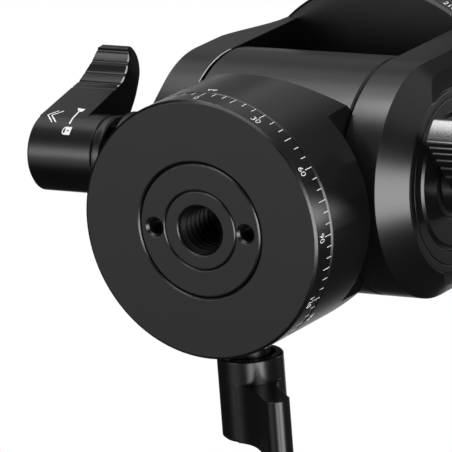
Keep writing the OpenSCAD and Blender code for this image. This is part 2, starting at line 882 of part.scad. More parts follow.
module clamp_knob() {
  r = knob_d / 2;
  color(c_black)
    translate([0, 0, screw_z])
      difference() {
        xturn([[0, knob_x], [r * 0.52, knob_x], [r * 0.52, knob_x + 2], [r - 0.5, knob_x + 2],
          [r, knob_x + 2.5], [r, knob_x + knob_len - 0.8], [r - 0.8, knob_x + knob_len],
          [0, knob_x + knob_len]]);
        for (a = [0:20:340])
          rotate([a, 0, 0])
            translate([0, 0, r + 0.35])
              xcyl(0.9, knob_x + 1, knob_x + knob_len + 1);
        xcyl(screw_r + fix, knob_x - 1, knob_x + knob_len - 2.25);
      }
}

module top_lock_stud() {
  color(c_steel)
    translate([0, 0, lock_z])
      xturn([[0, -clamp_r - 6], [lock_stud_r, -clamp_r - 6], [lock_stud_r, -post_r - 3.4],
        [0, -post_r - 3.4]]);
}

module top_lock_knob() {
  x0 = platform_r + 0.5;
  color(c_black)
    translate([0, 0, lock_z])
      mirror([1, 0, 0])
        difference() {
          xturn([[0, x0], [2.2, x0], [2.2, x0 + 1.5], [3.6, x0 + 1.5], [4, x0 + 1.9], [4, x0 + 7],
            [3.5, x0 + 7.5], [0, x0 + 7.5]]);
          for (a = [0:30:330])
            rotate([a, 0, 0])
              translate([0, 0, 4.2])
                xcyl(0.6, x0 + 1, x0 + 8);
          xcyl(lock_stud_r + fix, x0 - 1, clamp_r + 6.05);
        }
}

module top_brake_plug() {
  color(c_brass)
    difference() {
      translate([0, 0, lock_z])
        xcyl(lock_stud_r, -post_r - 3, -post_r + 1);
      translate([0, 0, lock_z - 5])
        cylinder(r = post_r + 0.4, h = 10);
    }
}

base_ring();
base_clamp_plate();
pan_spindle();
housing();
pan_thrust_washers();
pan_retaining_ring();
pan_lock_nose();
tilt_shaft();
shaft_grub_screw();
tilt_friction_discs();
drag_spring_washers();
pan_lever();
pan_lever_stud();
pan_lever_cap();
pan_brake_plug();
yoke();
tilt_damper_rotor();
tilt_bush();
flange_screws();
left_end_cap();
right_end_cap();
pivot_post();
pivot_screw();
clamp_thrust_ring();
lock_lever();
lock_thrust_washer();
lock_lever_cap();
drag_lever();
drag_lever_cap();
clamp_base();
guide_pins();
level_vial();
clamp_jaw();
clamp_screw();
clamp_knob();
top_lock_knob();
top_lock_stud();
top_brake_plug();
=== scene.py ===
import bpy
import json
import math
from mathutils import Matrix, Vector


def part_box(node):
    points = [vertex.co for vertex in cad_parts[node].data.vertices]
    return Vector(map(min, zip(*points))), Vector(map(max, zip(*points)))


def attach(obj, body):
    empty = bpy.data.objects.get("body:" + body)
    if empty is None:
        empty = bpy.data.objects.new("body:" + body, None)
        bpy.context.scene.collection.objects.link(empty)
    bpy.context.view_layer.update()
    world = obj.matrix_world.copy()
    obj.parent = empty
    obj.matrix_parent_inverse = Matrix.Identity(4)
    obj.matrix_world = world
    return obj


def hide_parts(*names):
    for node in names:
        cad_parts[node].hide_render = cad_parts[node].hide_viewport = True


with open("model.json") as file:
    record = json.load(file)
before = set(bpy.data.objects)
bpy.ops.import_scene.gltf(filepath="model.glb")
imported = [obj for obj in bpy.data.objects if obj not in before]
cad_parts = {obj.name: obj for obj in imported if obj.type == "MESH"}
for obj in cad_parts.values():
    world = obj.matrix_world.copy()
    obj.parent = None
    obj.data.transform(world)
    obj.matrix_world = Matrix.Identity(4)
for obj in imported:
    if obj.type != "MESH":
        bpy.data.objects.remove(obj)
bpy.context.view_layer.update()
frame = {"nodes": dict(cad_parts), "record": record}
mm = 0.001
mergeMm = 0.0005  # points closer than this are one point
tiltAxisMm = 44.5  # height of the tilt axis
print("frame loaded:", len(frame["nodes"]), "nodes")


def hexColour(code):
    # sRGB hex to linear, as the shader sockets want it
    parts = [int(code[i:i + 2], 16) / 255 for i in (1, 3, 5)]
    return [c / 12.92 if c <= 0.04045 else ((c + 0.055) / 1.055) ** 2.4 for c in parts] + [1.0]


def addNode(tree, kind, settings=None, links=None):
    node = tree.nodes.new(kind)
    for key, value in (settings or {}).items():
        if isinstance(key, str) and hasattr(node, key):
            setattr(node, key, value)
    for key, value in (settings or {}).items():
        if not (isinstance(key, str) and hasattr(node, key)):
            node.inputs[key].default_value = value
    for socket, source in (links or {}).items():
        tree.links.new(source, node.inputs[socket])
    return node


def newMaterial(name):
    material = bpy.data.materials.new(name)
    material.use_nodes = True
    material.node_tree.nodes.clear()
    return material, material.node_tree


def closeMaterial(tree, shader):
    addNode(tree, "ShaderNodeOutputMaterial", links={"Surface": shader.outputs[0]})


grainDeepMm = 0.02  # depth of a blast grain
ringDeepMm = 0.01  # depth of a tool mark

# black anodised aluminium, bead blasted before the dye: deep black with a soft satin sheen,
# a fine even grain, and edges that the tumbling has rounded so that they catch the light
anodised = {"colour": "#060607", "lighter": "#0A0A0B", "roughness": 0.29, "spread": 0.04, "ior": 1.47,
            "grainMm": 0.16, "grainBump": 0.10, "cloudMm": 14, "edgeMm": 0.2}
# the same dye on the cut thread, not blasted, so matt; its darker colour and weaker shine are painted shade for the
# deep socket
threadPaintedShade = {"colour": "#040404", "lighter": "#060606", "roughness": 0.38, "spread": 0.06, "ior": 1.23,
               "grainMm": 0.2, "grainBump": 0.06, "cloudMm": 6, "edgeMm": 0.06}
# the drag lever: the same black with a stronger reflectance, a painted highlight for the bright light on its tip, and a
# tighter shine, over the whole lever
leverPaintedSheen = {"colour": "#060607", "lighter": "#0A0A0B", "roughness": 0.27, "spread": 0.01, "ior": 1.9,
              "grainMm": 0.16, "grainBump": 0.004, "cloudMm": 14, "edgeMm": 0.05}


def makeAnodised(name, look):
    material, tree = newMaterial(name)
    place = addNode(tree, "ShaderNodeTexCoord")
    # blast grain of about 0.05 mm, drawn at grainMm so that it shows
    grain = addNode(tree, "ShaderNodeTexNoise",
                    {"Scale": 1 / (look["grainMm"] * mm), "Detail": 3.0, "Roughness": 0.6},
                    {"Vector": place.outputs["Object"]})
    clouds = addNode(tree, "ShaderNodeTexNoise", {"Scale": 1 / (look["cloudMm"] * mm), "Detail": 2.0},
                     {"Vector": place.outputs["Object"]})
    tint = addNode(tree, "ShaderNodeMix",
                   {"data_type": "RGBA", 6: hexColour(look["colour"]), 7: hexColour(look["lighter"])},
                   {0: clouds.outputs["Fac"]})
    rough = addNode(tree, "ShaderNodeMapRange", {"To Min": look["roughness"] - look["spread"],
                                                 "To Max": look["roughness"] + look["spread"]},
                    {"Value": grain.outputs["Fac"]})
    edge = addNode(tree, "ShaderNodeBevel", {"samples": 6, "Radius": look["edgeMm"] * mm})
    bump = addNode(tree, "ShaderNodeBump", {"Strength": look["grainBump"], "Distance": grainDeepMm * mm},
                   {"Height": grain.outputs["Fac"], "Normal": edge.outputs["Normal"]})
    shader = addNode(tree, "ShaderNodeBsdfPrincipled", {"Metallic": 0.0, "IOR": look["ior"]},
                     {"Base Color": tint.outputs[2], "Roughness": rough.outputs["Result"],
                      "Normal": bump.outputs["Normal"]})
    closeMaterial(tree, shader)
    return material


# turned bright steel: fine rings left by the tool, cool grey, sharp streaked highlights
steel = {"colour": "#B9BABC", "darker": "#9C9DA0", "roughness": 0.28, "spread": 0.07,
         "ringMm": 0.12, "bump": 0.15, "dullMm": 3}
# darker steel for the lock nose in the hollow hub: the same rings in dark grey, only a faint streak of light
darkSteel = {"colour": "#2E2E30", "darker": "#1F1F21", "roughness": 0.36, "spread": 0.06,
             "ringMm": 0.12, "bump": 0.12, "dullMm": 3}
# free-cutting brass, turned: warm yellow with the same fine rings, a little dulled by the air
brass = {"colour": "#C9A25A", "darker": "#A98443", "roughness": 0.32, "spread": 0.08,
         "ringMm": 0.14, "bump": 0.15, "dullMm": 3}
waveStep = 20  # the wave texture multiplies every distance by this


def makeTurned(name, look):
    material, tree = newMaterial(name)
    place = addNode(tree, "ShaderNodeTexCoord")
    # tool marks are finer than 0.1 mm; drawn at ringMm so that they show
    rings = addNode(tree, "ShaderNodeTexWave",
                    {"wave_type": "RINGS", "rings_direction": "SPHERICAL",
                     "Scale": 1 / (look["ringMm"] * mm * waveStep), "Distortion": 1.5, "Detail": 2.0},
                    {"Vector": place.outputs["Object"]})
    dull = addNode(tree, "ShaderNodeTexNoise", {"Scale": 1 / (look["dullMm"] * mm), "Detail": 4.0},
                   {"Vector": place.outputs["Object"]})
    tint = addNode(tree, "ShaderNodeMix",
                   {"data_type": "RGBA", 6: hexColour(look["colour"]), 7: hexColour(look["darker"])},
                   {0: dull.outputs["Fac"]})
    rough = addNode(tree, "ShaderNodeMapRange", {"To Min": look["roughness"] - look["spread"],
                                                 "To Max": look["roughness"] + look["spread"]},
                    {"Value": dull.outputs["Fac"]})
    bump = addNode(tree, "ShaderNodeBump", {"Strength": look["bump"], "Distance": ringDeepMm * mm},
                   {"Height": rings.outputs["Fac"]})
    shader = addNode(tree, "ShaderNodeBsdfPrincipled", {"Metallic": 1.0},
                     {"Base Color": tint.outputs[2], "Roughness": rough.outputs["Result"],
                      "Normal": bump.outputs["Normal"]})
    closeMaterial(tree, shader)
    return material


# machined acetal: milky white plastic, faintly translucent, with soft waxy gloss
acetal = {"colour": "#E6E4DC", "darker": "#D6D3C8", "roughness": 0.38, "ior": 1.48, "grainMm": 0.3, "bump": 0.08}
# white laser engraving through black anodising: chalky pale grey, dull, slightly uneven
engraving = {"colour": "#F2F2EF", "darker": "#C9C9C6", "roughness": 0.75, "ior": 1.48, "grainMm": 0.12, "bump": 0.3}


def makeDull(name, look):
    material, tree = newMaterial(name)
    place = addNode(tree, "ShaderNodeTexCoord")
    grain = addNode(tree, "ShaderNodeTexNoise", {"Scale": 1 / (look["grainMm"] * mm), "Detail": 3.0},
                    {"Vector": place.outputs["Object"]})
    tint = addNode(tree, "ShaderNodeMix",
                   {"data_type": "RGBA", 6: hexColour(look["colour"]), 7: hexColour(look["darker"])},
                   {0: grain.outputs["Fac"]})
    bump = addNode(tree, "ShaderNodeBump", {"Strength": look["bump"], "Distance": grainDeepMm * mm},
                   {"Height": grain.outputs["Fac"]})
    shader = addNode(tree, "ShaderNodeBsdfPrincipled", {"Roughness": look["roughness"], "IOR": look["ior"]},
                     {"Base Color": tint.outputs[2], "Normal": bump.outputs["Normal"]})
    closeMaterial(tree, shader)
    return material


# spirit level: clear acrylic over yellow-green spirit, glossy, a little light passes through
vialLook = {"colour": "#B7D64A", "deeper": "#8DB52E", "roughness": 0.06, "ior": 1.49, "cloudMm": 4,
            "coat": 0.6, "coatRoughness": 0.03}
# air bubble under the acrylic: the same gloss, paler where the spirit is thin
bubbleLook = {**vialLook, "colour": "#E9F3B8", "deeper": "#D8E89A", "roughness": 0.04}


def makeVial(name, look):
    material, tree = newMaterial(name)
    place = addNode(tree, "ShaderNodeTexCoord")
    depth = addNode(tree, "ShaderNodeTexNoise", {"Scale": 1 / (look["cloudMm"] * mm), "Detail": 1.0},
                    {"Vector": place.outputs["Object"]})
    tint = addNode(tree, "ShaderNodeMix",
                   {"data_type": "RGBA", 6: hexColour(look["colour"]), 7: hexColour(look["deeper"])},
                   {0: depth.outputs["Fac"]})
    shader = addNode(tree, "ShaderNodeBsdfPrincipled",
                     {"Roughness": look["roughness"], "IOR": look["ior"], "Coat Weight": look["coat"],
                      "Coat Roughness": look["coatRoughness"]},
                     {"Base Color": tint.outputs[2]})
    closeMaterial(tree, shader)
    return material


blackAluminium = makeAnodised("black anodised aluminium", anodised)
whiteEngraving = makeDull("white laser engraving", engraving)
finishes = {"black_anodised_aluminium": blackAluminium,
            "bright_steel": makeTurned("turned bright steel", steel),
            "brass": makeTurned("turned brass", brass),
            "white_acetal": makeDull("machined white acetal", acetal),
            "green_vial": makeVial("spirit vial acrylic", vialLook)}
# nodes whose finish differs from the rest of their slot
nodeFinishes = {"pan_lock_nose": makeTurned("dark grey turned steel", darkSteel),
                # the drag lever's stronger reflectance is a painted highlight
                "drag_lever": makeAnodised("black anodised aluminium, painted sheen", leverPaintedSheen)}
for entry in frame["record"]["subparts"]:
    slots = frame["nodes"][entry["node"]].data.materials
    slots.clear()
    slots.append(nodeFinishes.get(entry["node"], finishes[entry["material_slot"]]))
print("finishes on CAD nodes")


def pickOnly(*objects):
    if bpy.context.object and bpy.context.object.mode != "OBJECT":
        bpy.ops.object.mode_set(mode="OBJECT")
    bpy.ops.object.select_all(action="DESELECT")
    for item in objects:
        item.select_set(True)
    bpy.context.view_layer.objects.active = objects[0]


def editAll():
    bpy.ops.object.mode_set(mode="EDIT")
    bpy.ops.mesh.select_all(action="SELECT")


def applyModifier(piece, kind, **settings):
    pickOnly(piece)
    modifier = piece.modifiers.new(kind.title(), kind)
    for key, value in settings.items():
        setattr(modifier, key, value)
    bpy.ops.object.modifier_apply(modifier=modifier.name)


def settle(piece, matrix):
    # the place goes into the mesh, so that the object stays at the origin
    piece.data.transform(matrix @ piece.matrix_basis)
    piece.matrix_basis = Matrix.Identity(4)


def copyOf(piece):
    twin = piece.copy()
    twin.data = piece.data.copy()
    bpy.context.collection.objects.link(twin)
    return twin


def joinAs(name, parts, material, body):
    pickOnly(*parts)
    if len(parts) > 1:
        bpy.ops.object.join()
    piece = bpy.context.view_layer.objects.active
    piece.name = piece.data.name = name
    piece.data.materials.clear()
    piece.data.materials.append(material)
    editAll()
    bpy.ops.mesh.remove_doubles(threshold=mergeMm * mm)
    bpy.ops.mesh.normals_make_consistent(inside=False)
    bpy.ops.object.mode_set(mode="OBJECT")
    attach(piece, body)


def onCylinder(radius, theta, height):
    # local x runs round the cylinder, y up, z outwards
    c, s = math.cos(theta), math.sin(theta)
    return Matrix(((-s, 0, c, radius * c), (c, 0, s, radius * s), (0, 1, 0, height), (0, 0, 0, 1)))


# engraved marks: a thin pale skin that stands just clear of the black
engraved = {"skinMm": 0.03, "proudMm": 0.012, "cornerMm": 0.05}


def flatBar(width, length):
    bpy.ops.object.select_all(action="DESELECT")
    bpy.ops.mesh.primitive_plane_add(size=1)
    bar = bpy.context.object
    bar.scale = (width, length, 1)
    bpy.ops.object.transform_apply(location=False, rotation=False, scale=True)
    editAll()
    bpy.ops.mesh.bevel(offset=engraved["cornerMm"] * mm, segments=2, affect="VERTICES")
    bpy.ops.object.mode_set(mode="OBJECT")
    return bar


# plain numbers: they stand about 0.7 of the type size tall, and their strokes are drawn in a little
lettering = {"tallShare": 0.7, "thinnerMm": 0.032, "curveSteps": 4}


def flatNumber(words, tall, narrow):
    bpy.ops.object.select_all(action="DESELECT")
    bpy.ops.object.text_add()
    number = bpy.context.object
    number.data.body = words
    number.data.align_x = "CENTER"
    number.data.align_y = "CENTER"
    number.data.size = tall / lettering["tallShare"]
    number.data.offset = -lettering["thinnerMm"] * mm
    number.data.resolution_u = lettering["curveSteps"]
    bpy.ops.object.convert(target="MESH")
    low = min(v.co.y for v in number.data.vertices)
    high = max(v.co.y for v in number.data.vertices)
    fit = tall / (high - low)
    centred = Matrix.Translation((0, -(low + high) / 2, 0))
    number.data.transform(Matrix.Diagonal((fit * narrow, fit, fit, 1)) @ centred)
    return number


# a degree scale on a round edge: short and long strokes that hang from a seam, numbers under the long ones
def addScale(name, scale, body):
    parts = []
    shortBar = flatBar(scale["strokeMm"] * mm, scale["shortMm"] * mm)
    longBar = flatBar(scale["strokeMm"] * mm, scale["longMm"] * mm)
    for degree in range(0, 360, scale["step"]):
        theta = math.radians(degree + scale["zeroAt"])
        tall = degree % scale["longEvery"] == 0
        bar = copyOf(longBar if tall else shortBar)
        length = scale["longMm"] if tall else scale["shortMm"]
        settle(bar, onCylinder(scale["radiusMm"] * mm, theta, (scale["topMm"] - length / 2) * mm))
        parts.append(bar)
        if degree % scale["numberEvery"] == 0:
            number = flatNumber(str(degree), scale["numberMm"] * mm, scale["narrow"])
            settle(number, onCylinder(scale["radiusMm"] * mm, theta, scale["numberAtMm"] * mm))
            parts.append(number)
    for spare in (shortBar, longBar):
        bpy.data.objects.remove(spare)
    for part in parts:
        applyModifier(part, "SOLIDIFY", thickness=engraved["skinMm"] * mm, offset=-1)
    joinAs(name, parts, whiteEngraving, body)


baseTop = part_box("base_ring")[1][2] / mm
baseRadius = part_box("base_ring")[1][0] / mm
lowerScale = {"radiusMm": baseRadius + engraved["proudMm"], "topMm": baseTop - 0.02, "zeroAt": -89.41,
              "step": 5, "longEvery": 15, "numberEvery": 30, "shortMm": 1.66, "longMm": 2.35, "strokeMm": 0.115,
              "numberMm": 1.58, "numberAtMm": 2.05, "narrow": 0.82}
addScale("lower_degree_scale", lowerScale, "base")
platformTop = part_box("clamp_thrust_ring")[1][2] / mm - 0.1  # the ring stands 0.1 mm out of the platform
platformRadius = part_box("yoke")[1][0] / mm
upperScale = {"radiusMm": platformRadius + engraved["proudMm"], "topMm": platformTop - 0.35, "zeroAt": 90,
              "step": 5, "longEvery": 15, "numberEvery": 30, "shortMm": 1.9, "longMm": 2.7, "strokeMm": 0.18,
              "numberMm": 1.6, "numberAtMm": platformTop - 4.9, "narrow": 0.82}
addScale("upper_degree_scale", upperScale, "tilt_yoke")
print("degree scales engraved")


# index marks: hollow triangles that point at a scale
def addIndex(name, mark, body):
    parts = []
    for theta in mark["at"]:
        bpy.ops.object.select_all(action="DESELECT")
        bpy.ops.mesh.primitive_circle_add(vertices=3, radius=mark["sizeMm"] * mm, fill_type="NGON")
        tip = bpy.context.object
        editAll()
        bpy.ops.mesh.inset(thickness=mark["lineMm"] * mm)
        bpy.ops.mesh.delete(type="FACE")
        bpy.ops.object.mode_set(mode="OBJECT")
        turn = Matrix.Rotation(math.radians(mark["turnDeg"]), 4, "Z")
        settle(tip, onCylinder(mark["radiusMm"] * mm, math.radians(theta), mark["heightMm"] * mm) @ turn)
        applyModifier(tip, "SOLIDIFY", thickness=engraved["skinMm"] * mm, offset=-1)
        parts.append(tip)
    joinAs(name, parts, whiteEngraving, body)


panIndex = {"at": (-90.5, -88.1, 43.5, 45.9), "radiusMm": baseRadius + engraved["proudMm"],
            "heightMm": baseTop + 2.3, "sizeMm": 0.64, "lineMm": 0.17, "turnDeg": 180}
addIndex("pan_index_marks", panIndex, "pan_body")
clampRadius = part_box("clamp_base")[1][1] / mm
clampIndex = {"at": (-90,), "radiusMm": clampRadius + engraved["proudMm"],
              "heightMm": platformTop + 2.0, "sizeMm": 0.62, "lineMm": 0.14, "turnDeg": 180}
addIndex("clamp_index_mark", clampIndex, "plate_clamp")


# tilt lock signs: padlock, turning arrow and two chevrons, wrapped round the hub and on up its paddle
# flat x in mm runs round the hub towards its front, flat y is the distance out along the tilt axis
lockSign = {"radiusMm": 7.8 + engraved["proudMm"], "zeroAt": -137.8, "paddleAt": -166.15,
            "padlock": {"middle": (0.0, 52.73), "size": (1.85, 1.27), "bowMm": 0.92, "bowInside": 0.68, "bowFlat": 0.76,
                        "overlapMm": 0.03, "keyMm": 0.2, "keyDeepMm": 0.3},
            "strokes": (((1.78, 53.12), (3.9, 53.36), 0.34), ((3.8, 53.35), (6.5, 53.52), 0.34),
                        ((4.22, 59.48), (1.93, 57.33), 0.26), ((4.14, 59.48), (5.94, 57.92), 0.26),
                        ((4.15, 58.56), (2.01, 56.45), 0.26), ((4.07, 58.56), (5.98, 56.81), 0.26)),
            "arrowHead": ((7.6, 54.49), (6.3, 53.7), (6.24, 52.79), (7.36, 52.6))}
signCuts = 12  # along a stroke, so that it bends smoothly round the hub
headCuts = 3


def wrapOnHub(piece, sign):
    radius = sign["radiusMm"] * mm
    leave = math.radians(sign["paddleAt"])
    for vertex in piece.data.vertices:
        angle = math.radians(sign["zeroAt"]) - vertex.co.x / radius
        held = max(angle, leave)
        out = Vector((math.cos(held), math.sin(held)))
        spot = out * (radius + vertex.co.z) + Vector((out.y, -out.x)) * radius * (held - angle)
        vertex.co = (-vertex.co.y, spot.x, tiltAxisMm * mm + spot.y)


def finelyCut(piece, cuts):
    pickOnly(piece)
    editAll()
    bpy.ops.mesh.subdivide(number_cuts=cuts)
    bpy.ops.object.mode_set(mode="OBJECT")


def thicken(piece):
    applyModifier(piece, "SOLIDIFY", thickness=engraved["skinMm"] * mm, offset=1)
    return piece


def flatSheet(width, length):
    bpy.ops.object.select_all(action="DESELECT")
    bpy.ops.mesh.primitive_grid_add(x_subdivisions=signCuts, y_subdivisions=3, size=1)
    sheet = bpy.context.object
    sheet.data.transform(Matrix.Diagonal((width, length, 1, 1)))
    return sheet


def addPadlock(shape):
    middle = Vector((shape["middle"][0], shape["middle"][1], 0)) * mm
    body = thicken(flatSheet(shape["size"][0] * mm, shape["size"][1] * mm))
    bpy.ops.object.select_all(action="DESELECT")
    bpy.ops.mesh.primitive_cylinder_add(vertices=16, radius=shape["keyMm"] * mm, depth=shape["keyDeepMm"] * mm)
    key = bpy.context.object
    applyModifier(body, "BOOLEAN", operation="DIFFERENCE", object=key, solver="EXACT")
    bpy.data.objects.remove(key)
    body.data.transform(Matrix.Translation(middle))
    bpy.ops.object.select_all(action="DESELECT")
    bpy.ops.mesh.primitive_circle_add(vertices=28, radius=shape["bowMm"] * mm)
    bow = bpy.context.object
    editAll()
    bpy.ops.mesh.extrude_edges_move()
    bpy.ops.transform.resize(value=(shape["bowInside"], shape["bowInside"], 1))
    bpy.ops.mesh.select_all(action="SELECT")
    bpy.ops.mesh.bisect(plane_co=(0, 0, 0), plane_no=(0, 1, 0), clear_inner=True)
    bpy.ops.object.mode_set(mode="OBJECT")
    rise = Matrix.Translation(middle + Vector((0, (shape["size"][1] / 2 - shape["overlapMm"]) * mm, 0)))
    bow.data.transform(rise @ Matrix.Diagonal((1, shape["bowFlat"], 1, 1)))
    return [body, thicken(bow)]


def addStroke(start, end, wide):
    run = Vector(end) - Vector(start)
    middle = (Vector(start) + Vector(end)) / 2
    stroke = flatSheet((run.length + wide / 2) * mm, wide * mm)
    stroke.data.transform(Matrix.Translation((middle.x * mm, middle.y * mm, 0))
                          @ Matrix.Rotation(math.atan2(run.y, run.x), 4, "Z"))
    return thicken(stroke)


def addArrowHead(corners):
    bpy.ops.object.select_all(action="DESELECT")
    bpy.ops.mesh.primitive_plane_add(size=1)
    head = bpy.context.object
    # the plane's own vertices run row by row
    for index, corner in zip((0, 1, 3, 2), corners):
        head.data.vertices[index].co = (corner[0] * mm, corner[1] * mm, 0)
    finelyCut(head, headCuts)
    return thicken(head)


signs = addPadlock(lockSign["padlock"]) + [addArrowHead(lockSign["arrowHead"])]
for start, end, wide in lockSign["strokes"]:
    signs.append(addStroke(start, end, wide))
for sign in signs:
    wrapOnHub(sign, lockSign)
joinAs("lock_signs", signs, whiteEngraving, "tilt_lock")
print("index marks and lock signs engraved")


# chamfer on the tilt lock paddle's edge beside the thumb grooves, painted pale matt grey: a painted highlight,
# a hair line that stays crisp and pale under any light
paintedEdgeHighlight = {"colour": "#C9CACC", "darker": "#AEAFB2", "roughness": 0.42, "ior": 1.48, "grainMm": 0.2, "bump": 0.1}
highlightChamfer = {"wideMm": 0.24, "landMm": 0.25, "sideFacing": 0.95, "landFacing": -0.3, "flatDeg": 0.3,
           "weldMm": 0.002, "smoothDeg": 30}
highlightPaint = makeDull("pale edge paint, painted highlight", paintedEdgeHighlight)


def addCutEdge(name, node, body, cut):
    lever = bpy.data.objects.new(name, frame["nodes"][node].data.copy())
    bpy.context.collection.objects.link(lever)
    pickOnly(lever)
    bpy.ops.object.mode_set(mode="EDIT")
    bpy.ops.mesh.select_mode(type="EDGE")
    bpy.ops.mesh.select_all(action="SELECT")
    bpy.ops.mesh.remove_doubles(threshold=mergeMm * mm)
    bpy.ops.mesh.dissolve_limited(angle_limit=math.radians(cut["flatDeg"]))
    bpy.ops.mesh.select_all(action="DESELECT")
    bpy.ops.object.mode_set(mode="OBJECT")
    bpy.ops.mesh.customdata_custom_splitnormals_clear()
    axis = Vector((0, tiltAxisMm * mm))
    beside = {}
    for face in lever.data.polygons:
        for key in face.edge_keys:
            beside.setdefault(key, []).append(face.normal)
    for line in lever.data.edges:
        normals = sorted(beside[tuple(sorted(line.vertices))], key=lambda normal: normal.x)
        start, end = (lever.data.vertices[i].co for i in line.vertices)
        reach = min((spot.yz - axis).length for spot in (start, end))
        # the lands between the grooves face down; the grooves' own lines are shorter
        line.select = (len(normals) == 2 and normals[1].x > cut["sideFacing"]
                       and normals[0].z < cut["landFacing"] and (end - start).length > cut["landMm"] * mm
                       and reach > lockSign["radiusMm"] * mm)
    print("cut edge:", sum(line.select for line in lever.data.edges), "lines")
    # the new chamfer faces get the pale matt paint: a painted highlight along the edge
    lever.data.materials.append(highlightPaint)
    bpy.ops.object.mode_set(mode="EDIT")
    bpy.ops.mesh.bevel(offset=cut["wideMm"] * mm, segments=1, affect="EDGES", clamp_overlap=False)
    lever.active_material_index = 1
    bpy.ops.object.material_slot_assign()
    bpy.ops.mesh.select_all(action="SELECT")
    bpy.ops.mesh.remove_doubles(threshold=cut["weldMm"] * mm)
    bpy.ops.mesh.dissolve_degenerate(threshold=cut["weldMm"] * mm)
    bpy.ops.mesh.quads_convert_to_tris()
    bpy.ops.object.mode_set(mode="OBJECT")
    bpy.ops.object.shade_smooth_by_angle(angle=math.radians(cut["smoothDeg"]))
    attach(lever, body)
    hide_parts(node)


addCutEdge("tilt_lock_lever", "lock_lever", "tilt_lock", highlightChamfer)
print("paddle edge cut")


# the inner edge of the left arm's round foot gets the same painted highlight: a pale bead, sunk in the corner
armEdge = {"radiusMm": 22.8, "sideMm": -17.7, "beadMm": 0.107, "sunkMm": 0.066, "riseMm": 2.0, "tipShare": 0.2,
           "steps": 192, "facets": 8, "endFacing": 0.99, "smoothDeg": 60}


def addArmEdge(name, edge, body):
    bpy.ops.object.select_all(action="DESELECT")
    ring = (edge["radiusMm"] - edge["sunkMm"]) * mm
    bpy.ops.mesh.primitive_torus_add(major_segments=edge["steps"], minor_segments=edge["facets"], major_radius=ring,
                                     minor_radius=edge["beadMm"] * mm)
    bead = bpy.context.object
    middle = Vector((edge["sideMm"] - edge["sunkMm"], 0, tiltAxisMm)) * mm
    settle(bead, Matrix.Translation(middle) @ Matrix.Rotation(math.radians(90), 4, "Y"))
    editAll()
    # the foot is round below the tilt axis; above it the painted line runs straight up and narrows to a point in the
    # edge
    bpy.ops.mesh.bisect(plane_co=middle, plane_no=(0, 0, 1), clear_outer=True, use_fill=True)
    bpy.ops.mesh.select_mode(type="FACE")
    bpy.ops.object.mode_set(mode="OBJECT")
    for face in bead.data.polygons:
        face.select = face.normal.z > edge["endFacing"]
    print("arm edge:", sum(face.select for face in bead.data.polygons), "ends")
    bpy.ops.object.mode_set(mode="EDIT")
    bpy.ops.mesh.extrude_region_move(TRANSFORM_OT_translate={"value": (0, 0, edge["riseMm"] * mm)})
    bpy.ops.object.mode_set(mode="OBJECT")
    for corner in bead.data.vertices:
        if corner.co.z > middle.z + edge["riseMm"] / 2 * mm:
            tip = Vector((middle.x, math.copysign(ring, corner.co.y), corner.co.z))
            corner.co = tip.lerp(corner.co, edge["tipShare"])
    # the bead takes the pale matt paint of the paddle edge: a painted highlight
    joinAs(name, [bead], highlightPaint, body)
    bpy.ops.object.shade_smooth_by_angle(angle=math.radians(edge["smoothDeg"]))


addArmEdge("left_arm_edge_highlight", armEdge, "tilt_yoke")
print("arm edge cut")


# 3/8 inch tripod thread, 16 turns to the inch: a ridge with 60 degree flanks on the wall of the socket
thread = {"pitchMm": 25.4 / 16, "rootMm": 4.79, "crestMm": 3.95, "crestWideMm": 0.28, "flankDeg": 30, "startMm": 0.3,
          "turns": 7, "stepsPerTurn": 72, "weldMm": 0.001, "smoothDeg": 25,
          "wallMm": 4.74, "depthMm": 10.45, "pointMm": 2.4, "skinMm": 0.03}


def addThread():
    root, crest = thread["rootMm"], thread["crestMm"]
    rise = math.tan(math.radians(thread["flankDeg"])) * (root - crest)
    wide = thread["crestWideMm"] / 2
    bpy.ops.object.select_all(action="DESELECT")
    bpy.ops.mesh.primitive_plane_add(size=1)
    ridge = bpy.context.object
    corners = ((root, -wide - rise), (crest, -wide), (root, wide + rise), (crest, wide))
    for vertex, (radius, along) in zip(ridge.data.vertices, corners):
        vertex.co = (radius * mm, 0, along * mm)
    editAll()
    bpy.ops.mesh.delete(type="ONLY_FACE")
    bpy.ops.object.mode_set(mode="OBJECT")
    ridge.data.transform(Matrix.Translation((0, 0, (thread["startMm"] + wide + rise) * mm)))
    applyModifier(ridge, "SCREW", angle=math.radians(360), screw_offset=thread["pitchMm"] * mm,
                  iterations=thread["turns"], steps=thread["stepsPerTurn"], render_steps=thread["stepsPerTurn"],
                  axis="Z", use_merge_vertices=True, merge_threshold=thread["weldMm"] * mm)
    editAll()
    bpy.ops.mesh.fill_holes(sides=0)
    bpy.ops.object.mode_set(mode="OBJECT")
    # the cone that the drill leaves at the blind end
    bpy.ops.object.select_all(action="DESELECT")
    bpy.ops.mesh.primitive_cone_add(vertices=thread["stepsPerTurn"], radius1=thread["wallMm"] * mm, radius2=0,
                                    depth=thread["pointMm"] * mm, end_fill_type="NOTHING")
    point = bpy.context.object
    settle(point, Matrix.Translation((0, 0, (thread["depthMm"] + thread["pointMm"] / 2) * mm)))
    applyModifier(point, "SOLIDIFY", thickness=thread["skinMm"] * mm, offset=0)
    # a darker, weaker-shining copy of the anodising: painted shade down in the socket
    shadedThreadFinish = makeAnodised("black anodised thread, painted shade", threadPaintedShade)
    joinAs("socket_thread", [ridge, point], shadedThreadFinish, "base")
    bpy.ops.object.shade_smooth_by_angle(angle=math.radians(thread["smoothDeg"]))


addThread()
print("socket thread cut")

# bubble and ring of the spirit level, on top of the vial
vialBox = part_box("level_vial")
bubble = {"ringMm": 2.1, "ringWideMm": 0.22, "ringProudMm": 0.01, "skinMm": 0.03,
          "bubbleMm": 1.55, "flat": 0.16, "sunkMm": 0.15}


